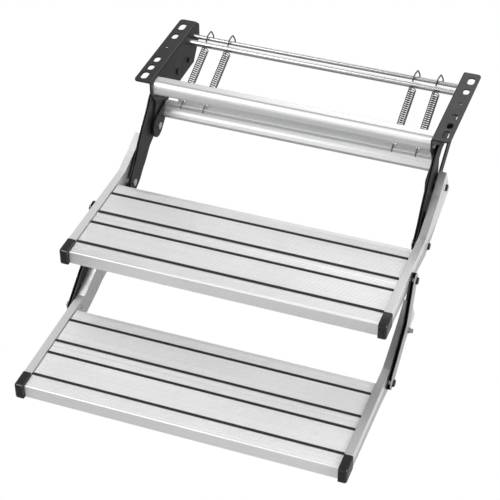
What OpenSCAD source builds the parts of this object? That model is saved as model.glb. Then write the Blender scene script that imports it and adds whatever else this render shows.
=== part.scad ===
// Folding two-tread entry step for a caravan. Millimetres, +Z up, -Y towards the
// person climbing it, origin in the middle of the plane of the mounting flanges.

/* [Width] */
// Half the distance between the inner faces of the bracket webs
half_span = 286; // [270:1:300]
// Thickness of the bracket steel
plate_t = 3; // [2.5:0.1:3.5]
// Width of a mounting flange
flange_w = 37; // [35:0.5:42]
// Length of a mounting flange
flange_l = 252; // [248:1:256]
// Outside radius of the bend between flange and web
bend_r = 4; // [3.6:0.1:5]
// Side gap between layers that turn against each other
side_gap = 1; // [0.6:0.1:1.4]
// Side gap where a stud ends between two layers
stud_gap = 1.5; // [1.2:0.1:2]
// Width of an arm channel
arm_w = 6.5; // [6:0.1:8]
// Thickness of a flat link
bar_t = 3; // [2.5:0.1:4]
// Width of a side rail
rail_w = 15; // [13:0.5:18]
// Width of an outer link channel
outer_w = 8; // [7:0.5:10]

/* [Pivots] */
// Arm pivot in the bracket, from the flange middle
arm_pivot_y = -105; // [-107:0.5:-103]
// Height of the arm pivot
arm_pivot_z = -113; // [-114:0.5:-112]
// Horizontal reach of an arm
arm_run = 115; // [113:0.5:117]
// Drop of an arm
arm_drop = 66; // [65:0.5:67]
// Rear link pivot in the bracket
rear_pivot_y = 12; // [8:1:16]
// Height of the rear link pivot
rear_pivot_z = -55; // [-57:0.5:-53]
// Horizontal reach of the lower links
link_run = 127; // [124:1:130]
// Drop of the lower links
link_drop = 146; // [143:1:149]
// Radius of the bolts that the arms turn on
bolt_r = 5; // [4.5:0.1:5.5]
// Radial running clearance of a pivot
run_gap = 0.06; // [0.03:0.01:0.1]
// Radial clearance of the two loose pivots
loose_gap = 0.3; // [0.25:0.01:0.4]

/* [Springs] */
// Radius of the front spring rod
front_rod_r = 6; // [5:0.1:6.5]
// Radius of the rear spring rod
rear_rod_r = 4.5; // [4:0.1:4.8]
// Wire radius of a spring
wire_r = 1.2; // [1:0.05:1.3]
// Mean radius of a coil
coil_r = 7.2; // [6.8:0.1:7.4]
// Turns of a spring
turns = 18; // [14:1:24]
// Distance of an outer spring from the middle
spring_x1 = 246; // [240:1:250]
// Distance of an inner spring from the middle
spring_x2 = 198; // [180:1:220]

/* [Steps] */
// Horizontal distance between the two treads
step_run = 217; // [213:1:221]
// Height between the two treads
step_rise = 151.3; // [149:0.1:154]
// Height of the upper tread top
tread_z = -152; // [-153:0.5:-151]
// Tread front edge
tread_front = -500; // [-502:0.5:-498]
// Tread rear edge
tread_rear = -273; // [-275:0.5:-272]
// Thickness of the tread plate
tread_t = 2.5; // [2:0.1:3]
// Height of the tread front face
nose_h = 26; // [24:0.5:28]
// Pitch of the fine ribs on a tread
rib_pitch = 3.6; // [3.4:0.1:4.5]
// Width of a grip strip
grip_w = 5.5; // [5:0.1:6.5]
// Wall of the rail extrusion
rail_wall = 2.5; // [2:0.1:3]

/* [Hidden] */
$fn = 48;
x_web = half_span + plate_t;
x_arm0 = x_web + side_gap;
x_arm1 = x_arm0 + arm_w;
x_bar0 = x_arm1 + stud_gap;
x_bar1 = x_bar0 + bar_t;
x_rail0 = x_bar1 + side_gap;
x_rail1 = x_rail0 + rail_w;
x_out0 = x_rail1 + stud_gap;
x_out1 = x_out0 + outer_w;
crank_t = 3;
x_crank1 = half_span - side_gap;
x_crank0 = x_crank1 - crank_t;

piv_e = [arm_pivot_y, arm_pivot_z];
piv_b = piv_e + [-arm_run, -arm_drop];
piv_g = [rear_pivot_y, rear_pivot_z];
piv_p = piv_g + [-arm_run, -arm_drop];
// Where the rails hang, from the arm bolts that carry them
step_at = piv_b + [220, 179];
piv_t = step_at + [-340, -168];
piv_u = piv_t + [-link_run, -link_drop];
piv_s = step_at + [-172, -148];
piv_v = piv_s + [-link_run, -link_drop];
step_move = [0, -step_run, -step_rise];

front_rod = [77, -21];
rear_rod = [98, -18];
lip_hole = [-55.5, -75.5];
ridge = [-66, -82];
beam_front = [ridge, [-66.5, -89], [-68.5, -95], [-73, -99.5], [-75.8, -104.5], [-75, -109.5],
    [-71, -112.6], [-56, -113]];
lip_x = [28 - half_span, half_span - 14];
slot_x = 22.5;
end_slots = [97, -102.5];
mid_slots = [56.5, -39];
groove_z = -166;
grips_y = [-303.6, -365.6, -400.5, -464.1];
seam_y = -383;

// The same shape on the other side
module left() { mirror([1, 0, 0]) children(); }
module both() { children(); left() children(); }

// What the arms carry
module carried() { translate([0, step_at[0], step_at[1]]) children(); }

// A side view outline between two widths
module side(x0, x1) translate([x0, 0, 0]) rotate([90, 0, 90]) linear_extrude(x1 - x0) children();

// A round along the width
module pin(p, x0, x1, r, f = 48)
    translate([x0, p[0], p[1]]) rotate([0, 90, 0]) cylinder(h = x1 - x0, r = r, $fn = f);

// Outline round two circles
module pill(a, b, ra, rb) {
    d = b - a;
    t = atan2(d[1], d[0]);
    o = acos((ra - rb) / norm(d));
    p = ra - 0.04;
    q = rb - 0.04;
    polygon([a + p * [cos(t - o), sin(t - o)], b + q * [cos(t - o), sin(t - o)],
        b + q * [cos(t + o), sin(t + o)], a + p * [cos(t + o), sin(t + o)]]);
    translate(a) circle(ra);
    translate(b) circle(rb);
}

// Rectangle with its own radius at each corner, from the lower left one round
module round_rect(a, b, r) {
    polygon([[a[0] + r[0], a[1]], [b[0] - r[1], a[1]], [b[0], a[1] + r[1]], [b[0], b[1] - r[2]],
        [b[0] - r[2], b[1]], [a[0] + r[3], b[1]], [a[0], b[1] - r[3]], [a[0], a[1] + r[0]]]);
    if (r[0] > 0) translate([a[0] + r[0], a[1] + r[0]]) circle(r[0]);
    if (r[1] > 0) translate([b[0] - r[1], a[1] + r[1]]) circle(r[1]);
    if (r[2] > 0) translate([b[0] - r[2], b[1] - r[2]]) circle(r[2]);
    if (r[3] > 0) translate([a[0] + r[3], b[1] - r[3]]) circle(r[3]);
}

// Outline moved inwards by d, for points that run clockwise
function unit(v) = v / norm(v);
function turned(v) = [v[1], -v[0]];
function inset(p, d) = [for (i = [0 : len(p) - 1])
    let (a = p[(i + len(p) - 1) % len(p)], b = p[i], c = p[(i + 1) % len(p)],
        m = turned(unit(b - a)), n = turned(unit(c - b))) b + (m + n) * d / (1 + m * n)];

// Outline with its corners eased by short curves of reach r
function eased(p, r) = [for (i = [0 : len(p) - 1])
    let (a = p[(i + len(p) - 1) % len(p)], b = p[i], c = p[(i + 1) % len(p)],
        s = min(r, norm(a - b) * 0.45), e = min(r, norm(c - b) * 0.45),
        u = b + unit(a - b) * s, v = b + unit(c - b) * e)
    for (t = [0, 0.33, 0.67, 1]) (1 - t) * (1 - t) * u + 2 * t * (1 - t) * b + t * t * v];

// Wire of radius r through a list of points
module wire(p, r, f) {
    n = len(p);
    ring = [for (i = [0 : n - 1])
        let (t = unit(p[min(i + 1, n - 1)] - p[max(i - 1, 0)]), side_v = unit(cross(t, [0.13, 0.31, 0.94])),
            up = cross(side_v, t)) for (k = [0 : f - 1])
            p[i] + r * (cos(k * 360 / f) * side_v + sin(k * 360 / f) * up)];
    polyhedron(points = ring, faces = concat(
        [[for (k = [0 : f - 1]) f - 1 - k]], [[for (k = [0 : f - 1]) (n - 1) * f + k]],
        [for (i = [0 : n - 2]) for (k = [0 : f - 1]) [i * f + k, i * f + (k + 1) % f,
            (i + 1) * f + (k + 1) % f, (i + 1) * f + k]]));
}

// Brackets: an angle with a slotted flange on top and a shaped web below
module slot(y, w, l) {
    x = half_span + slot_x;
    for (s = [-1, 1]) translate([x, y + s * (l - w) / 2, -plate_t - 1]) cylinder(h = plate_t + 2, d = w);
    translate([x - w / 2, y - (l - w) / 2, -plate_t - 1]) cube([w, l - w, plate_t + 2]);
}

module web_outline() {
    polygon([[-flange_l / 2, -bend_r], [-flange_l / 2, -28], [-104, -60], piv_e + [-17.2, 5.5], piv_e,
        piv_e + [12, -13.4], [-60, -100], [-30, -84], [101, -83], [136, -37], [136, -bend_r - 10],
        [flange_l / 2, -bend_r]]);
    translate(piv_e) circle(18);
    translate([126, -bend_r - 10]) circle(10);
}

module bracket() color([0.06, 0.06, 0.065]) {
    difference() {
        translate([half_span, 0, -plate_t]) linear_extrude(plate_t)
            round_rect([bend_r, -flange_l / 2], [flange_w, flange_l / 2], [0, 8, 8, 0]);
        for (y = end_slots) slot(y, 14, 26);
        for (y = mid_slots) slot(y, 12.5, 21);
        slot(-71, 12.5, 20);
        translate([half_span + slot_x, 12.3, -plate_t - 1]) cylinder(h = plate_t + 2, r = 3.5);
    }
    intersection() {
        translate([half_span + bend_r, flange_l / 2, -bend_r]) rotate([90, 0, 0]) difference() {
            cylinder(h = flange_l, r = bend_r);
            translate([0, 0, -1]) cylinder(h = flange_l + 2, r = bend_r - plate_t);
        }
        translate([half_span, -flange_l / 2, -bend_r]) cube([bend_r, flange_l, bend_r]);
    }
    difference() {
        side(half_span, x_web) web_outline();
        pin(piv_e, half_span - 1, x_web + 1, bolt_r + run_gap);
        pin(piv_g, half_span - 1, x_web + 1, bolt_r);
        pin([-110, -26], half_span - 1, x_web + 1, 2.5);
        pin(front_rod, half_span - 1, x_web + 1, 3);
        pin(rear_rod, half_span - 1, x_web + 1, 3);
        pin([72, -62], half_span - 1, x_web + 1, 4);
    }
}

module bracket_left() left() bracket();
module bracket_right() bracket();

// Front cover: a hollow extrusion between the webs
module fascia() color([0.8, 0.81, 0.82]) side(-half_span, half_span) difference() {
    round_rect([-118, -34], [-88, -6], [6, 2, 3, 13]);
    round_rect([-115.5, -31.5], [-90.5, -8.5], [4, 1, 1, 10.5]);
}

// Rods that hold the springs, drilled for a screw at each end
module spring_rod(p, r) difference() {
    pin(p, -half_span, half_span, r);
    for (x = [-half_span - 1, half_span - 20]) pin(p, x, x + 21, 3);
}

module front_rod() color([0.78, 0.79, 0.8]) spring_rod(front_rod, front_rod_r);
module rear_rod() color([0.78, 0.79, 0.8]) spring_rod(rear_rod, rear_rod_r);

module fascia_screws() color([0.72, 0.73, 0.74]) both() {
    pin([-110, -26], half_span - 14, x_web, 2.5);
    pin([-110, -26], x_web, x_web + 2.2, 5);
}

module rod_screws() color([0.72, 0.73, 0.74]) both() for (p = [front_rod, rear_rod]) {
    pin(p, half_span - 16, x_web, 3);
    pin(p, x_web, x_web + 3.2, 5.5, 6);
}

module web_bolts() color([0.72, 0.73, 0.74]) both() {
    pin([72, -62], half_span - 3, half_span, 6, 6);
    pin([72, -62], half_span, x_web, 4);
    pin([72, -62], x_web, x_web + 5, 7, 6);
}

module rear_link_pins() color([0.72, 0.73, 0.74]) both() {
    pin(piv_g, half_span - 2.5, half_span, 6.5);
    pin(piv_g, half_span, x_bar1 + side_gap / 2, bolt_r);
    pin(piv_g, x_web, x_bar0 - 0.1, 9);
    pin(piv_g, x_bar1 + 0.1, x_bar1 + 3, 9);
}

// Front arms: channels with a raised rear end, open towards the front
module arm_outline() polygon(eased([[-114, -37], [-132, -60], [-162, -87], [-186, -114], [-207, -144],
    piv_b + [-16, 7], piv_b + [-24, -13], piv_b + [-12, -28], piv_b + [10, -22], [-192, -193], [-175, -177], [-158, -166],
    [-135, -144], [-114, -136], [-92, -126], [-84, -102], [-86, -34]], 8));

module arm() color([0.07, 0.07, 0.075]) difference() {
    side(x_arm0, x_arm1) arm_outline();
    side(x_arm0 + 2, x_arm1 - 2) translate([-1.8, 2]) arm_outline();
    pin(piv_e, x_arm0 - 1, x_arm1 + 1, bolt_r);
    pin(piv_b, x_arm0 - 1, x_arm1 + 1, bolt_r + run_gap);
}

module arm_left() left() arm();
module arm_right() arm();

// Cranks carry the spring beam and turn with the arms
module crank() color([0.75, 0.76, 0.78]) difference() {
    side(x_crank0, x_crank1) pill(piv_e, [-66, -94], 25, 14);
    pin(piv_e, x_crank0 - 1, x_crank1 + 1, bolt_r);
}

module crank_left() left() crank();
module crank_right() crank();

module spring_beam() color([0.8, 0.81, 0.82]) {
    side(-x_crank0, x_crank0) {
        translate(ridge) circle(2.6);
        pill(ridge, [-55.5, -82.5], 1.4, 1.4);
        for (i = [0 : len(beam_front) - 2]) pill(beam_front[i], beam_front[i + 1], 1.4, 1.4);
    }
    difference() {
        translate([lip_x[0], -57, -84]) cube([lip_x[1] - lip_x[0], 3, 24]);
        for (x = [spring_x1, spring_x2]) both()
            translate([x, -50, lip_hole[1]]) rotate([90, 0, 0]) cylinder(h = 10, r = 4);
    }
}

module arm_pins() color([0.72, 0.73, 0.74]) both() {
    pin(piv_e, x_crank0 - 4, x_crank0, 8, 6);
    pin(piv_e, x_crank0, x_arm1 + 0.4, bolt_r);
    pin(piv_e, x_crank1, half_span - 0.1, 9);
    pin(piv_e, x_web + 0.1, x_arm0, 9);
}

// Rear links: flat bars from the webs to the rear ends of the rails
module rear_link() color([0.07, 0.07, 0.075]) difference() {
    side(x_bar0, x_bar1) pill(piv_g, piv_p, 13, 13);
    pin(piv_g, x_bar0 - 1, x_bar1 + 1, bolt_r + run_gap);
    pin(piv_p, x_bar0 - 1, x_bar1 + 1, bolt_r + loose_gap);
}

module rear_link_left() left() rear_link();
module rear_link_right() rear_link();

// Side rails: hollow extrusions whose rear ends rise and stay open
rail_points = [[-505, -148], [-234, -148], [-200, -136], [-185, -130], [-144, -112], [-122, -99],
    [-101, -87], [-64, -150], [-84, -155], [-119, -164], [-154, -171], [-177, -179], [-199, -185],
    [-231, -193], [-294, -186], [-465, -179], [-505, -177]];

module rail_hollow() {
    p = inset(rail_points, rail_wall);
    out = turned(unit(p[6] - p[7])) * 8;
    polygon(p);
    polygon([p[6], p[6] + out, p[7] + out, p[7]]);
}

module rail() color([0.82, 0.83, 0.84]) difference() {
    side(x_rail0, x_rail1) polygon(rail_points);
    side(x_rail0 + rail_wall, x_rail1 - rail_wall) rail_hollow();
    translate([x_rail1 - 0.7, -470, groove_z]) cube([2, 200, 1.4]);
}

module upper_rail() difference() {
    carried() rail();
    pin(piv_b, x_rail0 - 1, x_rail1 + 1, bolt_r);
    pin(piv_p, x_rail0 - 1, x_rail1 + 1, bolt_r);
    pin(piv_t, x_rail0 - 1, x_rail1 + 1, bolt_r);
    pin(piv_s, x_rail0 - 1, x_rail0 + rail_wall + 1, bolt_r);
}

module lower_rail() difference() {
    carried() translate(step_move) rail();
    pin(piv_u, x_rail0 - 1, x_rail1 + 1, bolt_r);
    pin(piv_v, x_rail0 - 1, x_rail0 + rail_wall + 1, bolt_r);
}

module upper_rail_left() left() upper_rail();
module upper_rail_right() upper_rail();
module lower_rail_left() left() lower_rail();
module lower_rail_right() lower_rail();

// Treads: ribbed extrusions between the rails, with grooves for the grip strips
module tread_outline() {
    z = tread_z;
    difference() {
        union() {
            translate([tread_front, z - tread_t]) square([tread_rear - tread_front, tread_t]);
            translate([tread_front, z - nose_h]) square([2.5, nose_h - 2.5]);
            translate([tread_front + 2.2, z - 2]) circle(2.6);
            translate([tread_rear - 2.5, z - 18]) square([2.5, 16]);
            translate([tread_front, z - nose_h]) square([44, 2.2]);
            translate([tread_rear - 40, z - 18]) square([40, 2.2]);
            for (y = [tread_front + 42, -420, -383, -346, tread_rear - 40])
                translate([y, z - 18]) square([2.2, 16]);
            translate([tread_front + 42, z - nose_h]) square([2.2, nose_h - 2]);
            for (y = [-424, -387, -350]) translate([y, z - 18]) square([10, 2]);
            for (y = grips_y) translate([y - grip_w / 2 - 2, z - 4.4]) square([grip_w + 4, 4.4]);
        }
        for (y = grips_y) translate([y - grip_w / 2, z - 2.6]) square([grip_w, 4]);
        translate([seam_y - 0.6, z - 0.9]) square([1.2, 2]);
    }
}

module tread_ribs() {
    n = floor((tread_rear - tread_front - 12) / rib_pitch);
    for (i = [0 : n - 1]) {
        y = tread_front + 8 + i * rib_pitch;
        far = min([for (g = concat(grips_y, [seam_y])) abs(g - y - 0.6)]);
        if (far > grip_w / 2 + 1.2) translate([y, tread_z - 0.3]) square([1.2, 0.9]);
    }
}

module tread() color([0.8, 0.81, 0.82]) carried() side(-x_rail0, x_rail0) {
    tread_outline();
    tread_ribs();
}

module grips() color([0.05, 0.05, 0.05]) carried() side(-x_rail0 + 2, x_rail0 - 2) for (y = grips_y) {
    translate([y - grip_w / 2, tread_z - 2.6]) square([grip_w, 3.6]);
    for (d = [-0.35, 0, 0.35]) translate([y + d * grip_w - 0.5, tread_z + 0.9]) square([1, 0.7]);
}

module cap() color([0.06, 0.06, 0.06]) carried() difference() {
    intersection() {
        side(x_rail0, x_rail1 + 1.5) round_rect([-509.5, -179.5], [-469, -146], [6, 1, 1, 10]);
        translate([0, 0, -200]) linear_extrude(80)
            round_rect([x_rail0, -509.5], [x_rail1 + 1.5, -469], [0, 6, 0.5, 0]);
    }
    side(x_rail0 - 1, x_rail1) polygon(rail_points);
}

module upper_tread() tread();
module lower_tread() translate(step_move) tread();
module upper_grips() grips();
module lower_grips() translate(step_move) grips();
module upper_cap_left() left() cap();
module upper_cap_right() cap();
module lower_cap_left() translate(step_move) left() cap();
module lower_cap_right() translate(step_move) cap();

// Bolts that the arms, links and rails turn on: a washer and a hexagon head outside
module bolt_head(p, x) {
    pin(p, x, x + 1.2, 8.5);
    pin(p, x + 1.2, x + 4.2, 7.4, 6);
    pin(p, x + 4.2, x + 5, 6);
}

module arm_rail_bolts() color([0.72, 0.73, 0.74]) both() {
    bolt_head(piv_b, x_rail1);
    pin(piv_b, x_arm0 - 0.2, x_rail1, bolt_r);
    pin(piv_b, x_arm1 + 0.1, x_bar0 - 0.1, 8.5);
    pin(piv_b, x_bar1 + 0.1, x_rail0, 8.5);
    pin(piv_b, x_arm0 - 3.2, x_arm0 - 0.2, 8, 6);
}

module rear_rail_studs() color([0.72, 0.73, 0.74]) both() {
    bolt_head(piv_p, x_rail1);
    pin(piv_p, x_bar0 - 0.6, x_rail1, bolt_r);
}

module inner_link_studs() color([0.72, 0.73, 0.74]) both() {
    pin(piv_s, x_bar0 - 0.6, x_rail0 + rail_wall, bolt_r);
    pin(piv_s, x_rail0 + rail_wall, x_rail0 + rail_wall + 3, 8);
}

module outer_link_bolts() color([0.72, 0.73, 0.74]) both() {
    pin(piv_t, x_rail0 + rail_wall, x_out1 + 0.1, bolt_r);
    bolt_head(piv_t, x_out1 + 0.1);
    pin(piv_t, x_rail1, x_out0 - 0.1, 9);
}

// Outer links: bent channels outside the rails, open towards the front
elbow = [-371, -249];

module outer_outline() {
    pill(piv_t, elbow, 14, 15);
    pill(elbow, piv_u, 15, 14);
}

module outer_link() color([0.07, 0.07, 0.075]) difference() {
    side(x_out0, x_out1) outer_outline();
    side(x_out0 + 2, x_out1 - 2) translate([-1.8, 1]) outer_outline();
    pin(piv_t, x_out0 - 1, x_out1 + 1, bolt_r + run_gap);
    pin(piv_u, x_out0 - 1, x_out1 + 1, bolt_r + run_gap);
    pin([-370, -265], x_out0 - 1, x_out1 + 1, 3);
}

module outer_link_left() left() outer_link();
module outer_link_right() outer_link();

module link_bumpers() color([0.72, 0.73, 0.74]) both() {
    pin([-370, -265], x_out0, x_out1 + 4, 3);
    pin([-370, -265], x_out1, x_out1 + 3.5, 6, 6);
    pin([-370, -265], x_out1 + 3.5, x_out1 + 9, 4);
}

// Inner links: flat bars inside the rails
module inner_link() color([0.07, 0.07, 0.075]) difference() {
    side(x_bar0, x_bar1) pill(piv_s, piv_v, 10, 10);
    pin(piv_s, x_bar0 - 1, x_bar1 + 1, bolt_r + run_gap);
    pin(piv_v, x_bar0 - 1, x_bar1 + 1, bolt_r + loose_gap);
}

module inner_link_left() left() inner_link();
module inner_link_right() inner_link();

module lower_rail_bolts() color([0.72, 0.73, 0.74]) both() {
    pin(piv_u, x_rail0 + rail_wall, x_out1 + 0.1, bolt_r);
    bolt_head(piv_u, x_out1 + 0.1);
    pin(piv_u, x_rail1, x_out0 - 0.1, 9);
}

module lower_rail_studs() color([0.72, 0.73, 0.74]) both() {
    pin(piv_v, x_bar0 - 0.6, x_rail0 + rail_wall, bolt_r);
    pin(piv_v, x_bar0 - 4, x_bar0 - 0.6, 8, 6);
    pin(piv_v, x_rail0 + rail_wall, x_rail0 + rail_wall + 3, 8);
}

// Springs: a triangular loop between the rods, open coils, a hook through the beam's lip
module spring(x) {
    u = unit(lip_hole - front_rod);
    n = [u[1], -u[0]];
    s0 = 10;
    s1 = norm(lip_hole - front_rod) - 10;
    loop = [[70, -30], [78, -29.3], [85, -25.5], [88, -18], [92.5, -10]];
    k = len(loop);
    coil = [for (i = [0 : turns * 10])
        let (a = 135 + i * 36, p = front_rod + u * (s0 + (s1 - s0) * i / (turns * 10)) + n * coil_r * cos(a))
        [x + coil_r * sin(a), p[0], p[1]]];
    path = concat([for (p = loop) [x - 5.2, p[0], p[1]]], [[x, 102, -1.5]],
        [for (i = [k - 1 : -1 : 0]) [x + 5.2, loop[i][0], loop[i][1]]], coil,
        [[x, lip_hole[0] + 6, lip_hole[1] + 2.5], [x, lip_hole[0], lip_hole[1]], [x, -63, -76],
        [x, -69.5, -77.4], [x, -72.2, -83], [x, -72.6, -91]]);
    wire(path, wire_r, 4);
}

module springs() color([0.1, 0.1, 0.11]) for (x = [-spring_x1, -spring_x2, spring_x2, spring_x1]) spring(x);

bracket_left();
bracket_right();
fascia();
front_rod();
rear_rod();
fascia_screws();
rod_screws();
web_bolts();
rear_link_pins();
arm_left();
arm_right();
crank_left();
crank_right();
spring_beam();
arm_pins();
rear_link_left();
rear_link_right();
upper_rail_left();
upper_rail_right();
upper_tread();
upper_grips();
upper_cap_left();
upper_cap_right();
arm_rail_bolts();
rear_rail_studs();
inner_link_studs();
outer_link_bolts();
outer_link_left();
outer_link_right();
link_bumpers();
inner_link_left();
inner_link_right();
lower_rail_left();
lower_rail_right();
lower_tread();
lower_grips();
lower_cap_left();
lower_cap_right();
lower_rail_bolts();
lower_rail_studs();
springs();
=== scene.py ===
import math

import bpy
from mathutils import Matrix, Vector


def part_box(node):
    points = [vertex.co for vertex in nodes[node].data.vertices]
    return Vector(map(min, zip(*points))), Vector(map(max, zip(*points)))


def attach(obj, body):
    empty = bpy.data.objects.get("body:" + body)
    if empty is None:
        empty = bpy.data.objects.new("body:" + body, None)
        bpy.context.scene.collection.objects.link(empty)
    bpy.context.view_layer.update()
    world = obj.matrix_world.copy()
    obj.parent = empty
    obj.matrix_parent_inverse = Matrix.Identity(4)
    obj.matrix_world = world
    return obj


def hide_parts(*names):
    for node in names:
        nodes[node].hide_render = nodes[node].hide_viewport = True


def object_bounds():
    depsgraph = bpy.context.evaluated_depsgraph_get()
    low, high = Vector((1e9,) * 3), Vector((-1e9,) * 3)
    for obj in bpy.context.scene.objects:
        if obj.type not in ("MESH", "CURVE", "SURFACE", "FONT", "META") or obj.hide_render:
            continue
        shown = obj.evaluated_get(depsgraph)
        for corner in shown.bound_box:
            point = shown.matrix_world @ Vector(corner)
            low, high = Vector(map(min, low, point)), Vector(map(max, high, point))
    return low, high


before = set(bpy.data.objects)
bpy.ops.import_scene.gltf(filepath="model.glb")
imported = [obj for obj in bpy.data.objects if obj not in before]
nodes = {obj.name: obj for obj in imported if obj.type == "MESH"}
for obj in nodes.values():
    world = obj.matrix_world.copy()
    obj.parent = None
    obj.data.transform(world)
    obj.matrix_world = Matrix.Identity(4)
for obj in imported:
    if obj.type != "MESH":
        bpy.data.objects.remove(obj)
cad_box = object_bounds()
scene = bpy.context.scene


# Shader writing: a wrapped socket that takes part in Python sums, and one call for any other
# node. Below them, a new object in the scene and the dressing of the CAD nodes.
class Sock:
    def __init__(self, tree, out):
        self.tree, self.out = tree, out

    def _math(self, op, a, b=None):
        n = self.tree.nodes.new("ShaderNodeMath")
        n.operation = op
        for i, v in enumerate((a, b)):
            if isinstance(v, Sock):
                self.tree.links.new(v.out, n.inputs[i])
            elif v is not None:
                n.inputs[i].default_value = v
        return Sock(self.tree, n.outputs[0])

    def __add__(self, o): return self._math("ADD", self, o)
    def __radd__(self, o): return self._math("ADD", o, self)
    def __rsub__(self, o): return self._math("SUBTRACT", o, self)
    def __mul__(self, o): return self._math("MULTIPLY", self, o)
    def above(self, o): return self._math("GREATER_THAN", self, o)
    def size(self): return self._math("ABSOLUTE", self)


class Look:
    """A Principled material under construction."""

    def __init__(self, name, color, rough, metal=0.0, **fixed):
        self.mat = bpy.data.materials.new(name)
        self.mat.use_nodes = True
        self.tree = self.mat.node_tree
        self.bsdf = self.tree.nodes["Principled BSDF"]
        self.bsdf.inputs["Base Color"].default_value = (*color, 1)
        self.bsdf.inputs["Roughness"].default_value = rough
        self.bsdf.inputs["Metallic"].default_value = metal
        for key, value in fixed.items():
            self.bsdf.inputs[key.replace("_", " ")].default_value = value

    def node(self, kind, settings=(), out=0, **inputs):
        """A new node. An input is given by its name, or as i and its number where names repeat."""
        n = self.tree.nodes.new(kind)
        for key, value in settings:
            setattr(n, key, value)
        for key, value in inputs.items():
            numbered = key[0] == "i" and key[1:].isdigit()
            socket = n.inputs[int(key[1:]) if numbered else key]
            if isinstance(value, Sock):
                self.tree.links.new(value.out, socket)
            else:
                socket.default_value = value
        return Sock(self.tree, n.outputs[out])

    def where(self):
        return self.node("ShaderNodeTexCoord", out=3)

    def axes(self):
        n = self.tree.nodes.new("ShaderNodeSeparateXYZ")
        self.tree.links.new(self.where().out, n.inputs[0])
        return [Sock(self.tree, n.outputs[i]) for i in range(3)]

    def noise(self, scale, stretch=(1, 1, 1), detail=3.0):
        at = self.node("ShaderNodeMapping", Vector=self.where(), Scale=stretch)
        return self.node("ShaderNodeTexNoise", Vector=at, Scale=scale, Detail=detail)

    def mix(self, factor, a, b):
        return self.node("ShaderNodeMix", (("data_type", "RGBA"),), out=2, i0=factor, i6=a, i7=b)

    def feed(self, name, value):
        self.tree.links.new(value.out, self.bsdf.inputs[name])

    def bump(self, height, strength, distance):
        self.feed("Normal", self.node("ShaderNodeBump", Height=height, Strength=strength,
                                      Distance=distance))


def grey(value):
    """A neutral colour with full alpha."""
    return (value, value, value, 1)


def placed(name, data):
    """A new object in the scene for this mesh, lamp or camera, at the origin."""
    obj = bpy.data.objects.new(name, data)
    scene.collection.objects.link(obj)
    return obj


def dress(look, *names):
    """Gives the look to CAD nodes."""
    for name in names:
        mesh_slots = nodes[name].material_slots
        if not mesh_slots:
            nodes[name].data.materials.append(look.mat)
        for s in mesh_slots:
            s.material = look.mat


# Camera: solved from the photograph, which is 500 px square. A long lens looks down at the step
# from the front right.
camera_data = bpy.data.cameras.new("camera")
camera = placed("camera", camera_data)
scene.camera = camera
focal_px, picture_px, sensor_mm = 1602.6, 500, 36.0
camera_data.sensor_width = sensor_mm
camera_data.lens = focal_px / picture_px * sensor_mm
camera_data.clip_end = 20.0
camera.location = (0.8192, -2.5861, 1.7148)
camera_target = Vector((0.0150, -0.3786, -0.1520))
camera.rotation_euler = (camera_target - camera.location).to_track_quat("-Z", "Y").to_euler()


# Light: a white room with one large soft key from the upper left front, a fill from the right,
# a low front sheet for the lower step and a rear strip. The camera sees the room as white paper.
def soft_light(name, place, aim, width, height, power):
    data = bpy.data.lights.new(name, "AREA")
    data.shape = "RECTANGLE"
    data.size, data.size_y, data.energy = width, height, power
    lamp = placed(name, data)
    lamp.location = place
    lamp.rotation_euler = (Vector(aim) - Vector(place)).to_track_quat("-Z", "Y").to_euler()


middle = (0.0, -0.3, -0.2)
lower_step_at = (0.0, -0.5, -0.3)
soft_light("key", (-1.5, -1.5, 2.4), middle, 1.8, 1.4, 52.0)
soft_light("fill", (2.4, -0.9, 0.5), middle, 1.6, 1.8, 70.0)
soft_light("front", (0.2, -2.4, 0.15), lower_step_at, 2.2, 1.0, 5.0)
soft_light("rear", (0.2, 2.0, 1.3), middle, 2.4, 0.8, 20.0)

world = bpy.data.worlds.new("world")
scene.world = world
world.use_nodes = True
sky = world.node_tree
sky.nodes.clear()
sky_out = sky.nodes.new("ShaderNodeOutputWorld")
sky_mix = sky.nodes.new("ShaderNodeMixShader")
sky_path = sky.nodes.new("ShaderNodeLightPath")
room = sky.nodes.new("ShaderNodeBackground")
room_strength = 0.62
room.inputs["Color"].default_value = grey(1)
room.inputs["Strength"].default_value = room_strength
paper = sky.nodes.new("ShaderNodeBackground")
paper.inputs["Color"].default_value = grey(1)
sky.links.new(sky_path.outputs["Is Camera Ray"], sky_mix.inputs[0])
sky.links.new(room.outputs[0], sky_mix.inputs[1])
sky.links.new(paper.outputs[0], sky_mix.inputs[2])
sky.links.new(sky_mix.outputs[0], sky_out.inputs[0])
scene.view_settings.view_transform = "Standard"

# Floor: a pale sheet below the lower step, white to the camera as in the photograph. It lies low
# enough for the lower step to swing under the upper one without touching it.
floor_mesh = bpy.data.meshes.new("floor")
floor_reach, floor_gap = 6.0, 0.13
floor_z = cad_box[0].z - floor_gap
floor_corners = [(x * floor_reach, y * floor_reach, floor_z)
                 for x, y in ((-1, -1), (1, -1), (1, 1), (-1, 1))]
floor_mesh.from_pydata(floor_corners, [], [(0, 1, 2, 3)])
floor = placed("floor", floor_mesh)
pale = Look("floor_paper", (0.36, 0.36, 0.36), 0.9)
glow = pale.tree.nodes.new("ShaderNodeEmission")
floor_mix = pale.tree.nodes.new("ShaderNodeMixShader")
floor_path = pale.tree.nodes.new("ShaderNodeLightPath")
pale.tree.links.new(floor_path.outputs["Is Camera Ray"], floor_mix.inputs[0])
pale.tree.links.new(pale.bsdf.outputs[0], floor_mix.inputs[1])
pale.tree.links.new(glow.outputs[0], floor_mix.inputs[2])
pale.tree.links.new(floor_mix.outputs[0], pale.tree.nodes["Material Output"].inputs[0])
floor_mesh.materials.append(pale.mat)


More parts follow.
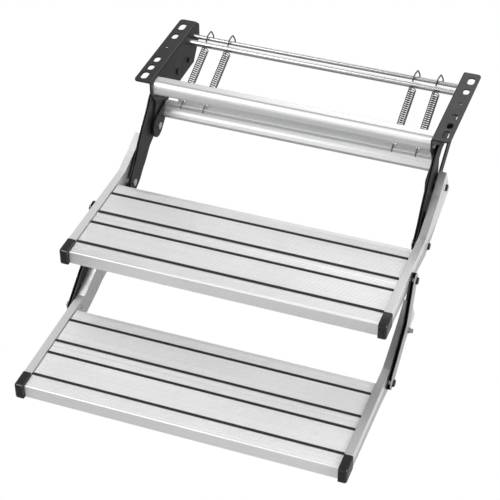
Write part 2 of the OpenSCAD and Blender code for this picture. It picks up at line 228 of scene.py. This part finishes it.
# Treads: anodised aluminium extrusions, drawn along the width, so the die lines run along X. The
# lower one lies in the shade of the upper; it is a little more matt, and painted paler as painted
# light against that shade. A painted shadow line runs along each end, where the tread meets its
# rail.
shadow_line_w = 0.0013


def tread_look(name, metal, dull, bright):
    look = Look(name, bright, 0.4, metal)
    die_lines = look.noise(60.0, (0.02, 14.0, 14.0))
    cloud = look.noise(9.0, (0.6, 1.0, 1.0), 2.0)
    x = look.axes()[0]
    # Painted shadow: a thin dark line at each end, where the gap between tread and rail is in
    # shade.
    end_gap_shadow = x.size().above(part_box("upper_tread")[1].x - shadow_line_w)
    shade = look.mix(die_lines * 0.7 + cloud * 0.3, (*dull, 1), (*bright, 1))
    look.feed("Base Color", look.mix(end_gap_shadow * 0.8, shade, grey(0.05)))
    look.feed("Roughness", 0.3 + die_lines * 0.22)
    look.bump(die_lines, 0.25, 0.0004)
    return look


dress(tread_look("upper_tread_aluminium", 0.88, (0.56, 0.56, 0.558), (0.88, 0.88, 0.88)),
      "upper_tread")
# The lower tread's paler colours are painted light, making up for the shade of the upper step.
dress(tread_look("lower_tread_aluminium", 0.5, (0.62, 0.618, 0.615), (0.9, 0.9, 0.9)),
      "lower_tread")


# Side rails: anodised extrusions, painted with light and shade by face: grey along the top,
# painted near white on the outer face above its groove as painted light, and painted greyer on
# the band below as painted shade. The left rails are painted paler along the top, and the upper
# rails darker along the top than the lower ones, as painted light and shade.
groove_z, step_drop = -0.166, 0.1513
face_depth = 0.0004


def rail_look(name, groove, top):
    look = Look(name, (0.8, 0.8, 0.81), 0.35, 0.85)
    grain = look.noise(70.0, (12.0, 0.05, 3.0))
    x, _, z = look.axes()
    # Painted light and shade: near white on the outer face, grey on the band below the groove,
    # paler on the left rails, and a separate top grey for each step.
    lit_outer_face = x.size().above(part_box("upper_rail_right")[1].x - face_depth)
    shaded_band = (groove - z).above(0.0) * lit_outer_face
    shade = look.mix(x.above(0.0), (0.74, 0.745, 0.75, 1), (top, top, top * 1.01, 1))
    shade = look.mix(lit_outer_face, shade, (0.93, 0.93, 0.935, 1))
    shade = look.mix(shaded_band, shade, (0.62, 0.63, 0.64, 1))
    look.feed("Base Color", look.mix(grain * 0.2, shade, (0.6, 0.61, 0.62, 1)))
    look.feed("Roughness", 0.27 + grain * 0.2)
    look.bump(grain, 0.15, 0.0003)
    return look


dress(rail_look("upper_rail_aluminium", groove_z, 0.42), "upper_rail_left", "upper_rail_right")
dress(rail_look("lower_rail_aluminium", groove_z - step_drop, 0.6),
      "lower_rail_left", "lower_rail_right")

# Fascia and spring beam: bright extrusions with fine lines along the width. The fascia is painted
# greyer along its top, a painted shade.
bar_look = Look("bar_aluminium", (0.8, 0.81, 0.82), 0.28, 0.9)
bar_lines = bar_look.noise(55.0, (0.02, 10.0, 10.0))
bar_up = bar_look.axes()[2]
bar_shade = bar_look.mix(bar_lines, (0.64, 0.645, 0.65, 1), (0.92, 0.92, 0.93, 1))
bar_top_z = -0.0068
# Painted shade: the fascia's top is mixed halfway to grey.
painted_top_shade = bar_up.above(bar_top_z)
bar_look.feed("Base Color", bar_look.mix(painted_top_shade * 0.5, bar_shade, grey(0.3)))
bar_look.feed("Roughness", 0.3 + bar_lines * 0.2)
bar_look.bump(bar_lines, 0.2, 0.0003)
dress(bar_look, "fascia", "spring_beam")


# Brackets, arms and links: pressed steel with a satin black powder coat, slightly orange-peeled.
# The outer links' outboard faces are painted grey and made metallic, a painted sheen of grazing
# light.
def coat_look(name, sheen_beyond=None):
    look = Look(name, (0.012, 0.012, 0.013), 0.4, 0.0, Specular_IOR_Level=0.22)
    peel = look.noise(900.0, detail=1.0)
    wear = look.noise(35.0, detail=4.0)
    shade = look.mix(wear, (0.006, 0.006, 0.007, 1), (0.018, 0.018, 0.019, 1))
    if sheen_beyond:
        # Painted sheen: faces beyond this X are painted grey and made metallic.
        x = look.axes()[0]
        painted_sheen = x.size().above(sheen_beyond)
        shade = look.mix(painted_sheen, shade, grey(0.5))
        look.feed("Metallic", painted_sheen * 0.8)
    look.feed("Base Color", shade)
    look.feed("Roughness", 0.34 + wear * 0.16)
    look.bump(peel, 0.2, 0.0002)
    return look


dress(coat_look("outer_link_coat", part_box("outer_link_right")[1].x - face_depth),
      "outer_link_left", "outer_link_right")
dress(coat_look("black_powder_coat"), "bracket_left", "bracket_right", "arm_left", "arm_right",
      "rear_link_left", "rear_link_right", "inner_link_left", "inner_link_right", "crank_left",
      "crank_right", "web_bolts", "rear_link_pins")


# Rods and bolts: zinc plate with a faint cloudy passivation. The bolt heads are blackened above
# their bright washers, so the colour steps with the distance from the middle of the step.
def zinc_look(name, dark, bright, heads=None, stretch=(1, 1, 1)):
    look = Look(name, bright, 0.3, 1.0)
    spangle = look.noise(160.0, stretch)
    shade = look.mix(spangle, (*dark, 1), (*bright, 1))
    if heads:
        x = look.axes()[0]
        shade = look.mix(x.size().above(heads), shade, (0.045, 0.045, 0.05, 1))
    look.feed("Base Color", shade)
    look.feed("Roughness", 0.2 + spangle * 0.2)
    look.bump(spangle, 0.08, 0.0002)
    return look


rail_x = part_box("upper_rail_right")[1].x
link_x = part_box("outer_link_right")[1].x
washer_t = 0.0013
dress(zinc_look("zinc_plate", (0.55, 0.56, 0.58), (0.82, 0.82, 0.83)), "fascia_screws",
      "rod_screws", "arm_pins", "inner_link_studs", "lower_rail_studs")
dress(zinc_look("dull_zinc", (0.2, 0.2, 0.19), (0.45, 0.45, 0.44)), "link_bumpers")
drawn = (0.01, 1, 1)  # streaks along X
dress(zinc_look("drawn_zinc", (0.42, 0.42, 0.43), (0.68, 0.68, 0.69), stretch=drawn), "front_rod")
# The rear rod's darker zinc is painted shade, standing in for the dark reflection along it.
dress(zinc_look("rear_rod_shaded_zinc", (0.34, 0.34, 0.35), (0.58, 0.58, 0.59), stretch=drawn), "rear_rod")
bolt_dark, bolt_bright = (0.5, 0.5, 0.52), (0.8, 0.8, 0.8)
dress(zinc_look("rail_bolts", bolt_dark, bolt_bright, rail_x + washer_t),
      "arm_rail_bolts", "rear_rail_studs")
dress(zinc_look("link_bolts", bolt_dark, bolt_bright, link_x + washer_t),
      "outer_link_bolts", "lower_rail_bolts")

# End caps: moulded black plastic with a fine spark-eroded texture, glossier than the powder coat
# of the steel.
moulded = Look("cap_plastic", (0.006, 0.006, 0.0065), 0.2, Specular_IOR_Level=0.4)
grit = moulded.noise(1400.0, detail=2.0)
moulded.feed("Roughness", 0.13 + grit * 0.12)
moulded.bump(grit, 0.15, 0.0002)

# Each cap is one skin, swept from the pocket's front wall back to the open end and forward again
# over the rounded outside. Millimetres, for the right cap of the upper step.
cap_inner, cap_outer, cap_low, cap_high = 301.95, 318.5, -179.5, -146.0
cap_front, cap_back = -509.5, -469.0
pocket = (302.0, 317.02, -179.02, -147.98)
pocket_front = -505.02
sharp_r, pocket_r, long_r, corner_steps = 0.2, 0.3, 3.5, 6
front_r, front_top_r, front_inner_r, front_steps = 7, 8, 1.2, 8
edge_ring, wall_ring = 0.5, 12
steps_apart = Vector((0, -0.217, -step_drop))


def cap_ring(y, x0, x1, z0, z1, radius):
    """A loop round the cap at one depth, its outer corners rounded and its inner ones sharp."""
    corners = ((x0, z0, sharp_r, 180), (x1, z0, radius, 270),
               (x1, z1, radius, 0), (x0, z1, sharp_r, 90))
    ring = []
    for cx, cz, r, start in corners:
        mx, mz = (cx + r if cx == x0 else cx - r), (cz + r if cz == z0 else cz - r)
        for k in range(corner_steps + 1):
            a = math.radians(start + 90 / corner_steps * k)
            ring.append((mx + r * math.cos(a), y, mz + r * math.sin(a)))
    return ring


def cap_rings():
    """The pocket, then the outside from the open end to the rounded front."""
    rings = [cap_ring(y, *pocket, pocket_r) for y in (pocket_front, cap_back)]
    for y in (cap_back, cap_back - edge_ring, cap_back - wall_ring):
        rings.append(cap_ring(y, cap_inner, cap_outer, cap_low, cap_high, long_r))
    for k in range(front_steps + 1):
        a = math.radians(90 - 90 / front_steps * k)
        near, far = 1 - math.sin(a), 1 - math.cos(a)
        rings.append(cap_ring(cap_front + front_r * far, cap_inner + front_inner_r * near,
                              cap_outer - front_r * near, cap_low + front_r * near,
                              cap_high - front_top_r * near, long_r))
    return rings


def cap_piece(name, body, shift, *covered):
    """Both caps of one step, in place of the CAD's."""
    verts, faces = [], []
    rings = cap_rings()
    for sign in (1, -1):
        base, n = len(verts), len(rings[0])
        for ring in rings:
            verts += [Vector((sign * x, y, z)) / 1000 + shift for x, y, z in ring]
        skin = []
        for r in range(len(rings) - 1):
            a, b = base + n * r, base + n * (r + 1)
            skin += [(a + k, a + (k + 1) % n, b + (k + 1) % n, b + k) for k in range(n)]
        skin.append(tuple(base + k for k in reversed(range(n))))
        skin.append(tuple(base + n * (len(rings) - 1) + k for k in range(n)))
        faces += skin if sign > 0 else [tuple(reversed(face)) for face in skin]
    mesh = bpy.data.meshes.new(name)
    mesh.from_pydata(verts, [], faces)
    for face in mesh.polygons:
        face.use_smooth = len(face.vertices) == 4
    mesh.materials.append(moulded.mat)
    piece = placed(name, mesh)
    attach(piece, body)
    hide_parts(*covered)


cap_piece("upper_end_caps", "upper_step", Vector((0, 0, 0)), "upper_cap_left", "upper_cap_right")
cap_piece("lower_end_caps", "lower_step", steps_apart, "lower_cap_left", "lower_cap_right")

# Grip strips: black rubber pushed into grooves of the treads, matt, with a little dust drawn out
# along the strips.
grip = Look("grip_rubber", (0.012, 0.012, 0.013), 0.75)
dust = grip.noise(500.0, (0.3, 1.0, 1.0), 3.0)
grip.feed("Base Color", grip.mix(dust, (0.008, 0.008, 0.009, 1), (0.022, 0.022, 0.023, 1)))
grip.feed("Roughness", 0.6 + dust * 0.25)
grip.bump(dust, 0.3, 0.0003)
dress(grip, "upper_grips", "lower_grips")

# Springs: round-wire extension springs in place of the coarse CAD ones, with a loop over the rear
# rod at the top and a hook through the beam's lip at the bottom. Dark oiled wire, one even grey
# at the loops.
spring_look = Look("spring_wire", (0.5, 0.5, 0.51), 0.32, 0.9)
scale = spring_look.noise(260.0, detail=2.0)
wire_z = spring_look.axes()[2]
loops_from_z = -0.027
wire_shade = spring_look.mix(scale, grey(0.05), (0.22, 0.22, 0.218, 1))
wire_shade = spring_look.mix(wire_z.above(loops_from_z), wire_shade, grey(0.09))
spring_look.feed("Base Color", wire_shade)
spring_look.feed("Roughness", 0.25 + scale * 0.25)
spring_look.bump(scale, 0.1, 0.0002)

rod_at = Vector((0.077, -0.021))
hole_at = Vector((-0.0555, -0.0755))
along = (hole_at - rod_at).normalized()
across = Vector((along.y, -along.x))
wire_r, loop_r, coil_r, wire_sides = 0.001, 0.0015, 0.0072, 8
turns, per_turn, first_angle = 25, 18, 225
coil_from, coil_to = 0.010, (hole_at - rod_at).length - 0.008
spring_places = (-0.246, -0.198, 0.198, 0.246)
# Millimetres from the spring's middle plane, then y and z: the loop from its tail, and the hook.
loop_points = [(4.8, 104.4, -18), (4.4, 104.4, -12), (1.6, 102.6, -4), (0.7, 101.8, -1.8),
               (0.1, 101.4, -1.7), (-0.9, 100.2, -2.6), (-3.6, 91.5, -6.5), (-5.4, 88.5, -17),
               (-5.6, 85, -25), (-5.3, 78, -29.3), (-5.2, 70, -30)]
hook_points = [(0, -51.5, -73.9), (0, -55.5, -75.5), (0, -63, -76), (0, -69, -76.8),
               (0, -72.2, -80.5), (0, -71.6, -86)]


def rounded(points, passes=2):
    """The line with a quarter cut off both ends of each stretch, which rounds its corners."""
    for _ in range(passes):
        eased = [points[0]]
        for a, b in zip(points, points[1:]):
            eased += [a * 0.75 + b * 0.25, a * 0.25 + b * 0.75]
        points = eased + [points[-1]]
    return points


def wire_line(x, points):
    """A rounded line in metres through a spring's points, for the spring at x."""
    return rounded([Vector((x + dx / 1000, y / 1000, z / 1000)) for dx, y, z in points])


def coil_line(x):
    """The close turns of the spring at x, from the rod to the lip's hole."""
    coil = []
    for i in range(turns * per_turn + 1):
        a = math.radians(first_angle + i * 360 / per_turn)
        p = rod_at + along * (coil_from + (coil_to - coil_from) * i / (turns * per_turn))
        p = p + across * coil_r * math.cos(a)
        coil.append(Vector((x + coil_r * math.sin(a), p.x, p.y)))
    return coil


def tube(path, radius, sides):
    """A closed round wire along a path, as vertices and faces."""
    verts, faces = [], []
    normal = None
    last = len(path) - 1
    for i, p in enumerate(path):
        t = (path[min(i + 1, last)] - path[max(i - 1, 0)]).normalized()
        if normal is None:
            normal = t.orthogonal().normalized()
        normal = (normal - t * normal.dot(t)).normalized()
        other = t.cross(normal)
        for k in range(sides):
            a = 2 * math.pi * k / sides
            verts.append(p + radius * (math.cos(a) * normal + math.sin(a) * other))
    for i in range(last):
        for k in range(sides):
            a, b = i * sides + k, i * sides + (k + 1) % sides
            faces.append((a, b, b + sides, a + sides))
    faces.append(tuple(reversed(range(sides))))
    faces.append(tuple(last * sides + k for k in range(sides)))
    return verts, faces


spring_verts, spring_faces = [], []
for x in spring_places:
    loop, coil_and_hook = wire_line(x, loop_points), coil_line(x) + wire_line(x, hook_points)
    for line, radius in ((loop, loop_r), (coil_and_hook, wire_r)):
        v, f = tube(line, radius, wire_sides)
        base = len(spring_verts)
        spring_verts += v
        spring_faces += [tuple(base + i for i in face) for face in f]
spring_mesh = bpy.data.meshes.new("coil_springs")
spring_mesh.from_pydata(spring_verts, [], spring_faces)
for face in spring_mesh.polygons:
    face.use_smooth = True
spring_mesh.materials.append(spring_look.mat)
coil_springs = placed("coil_springs", spring_mesh)
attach(coil_springs, "springs_body")
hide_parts("springs")
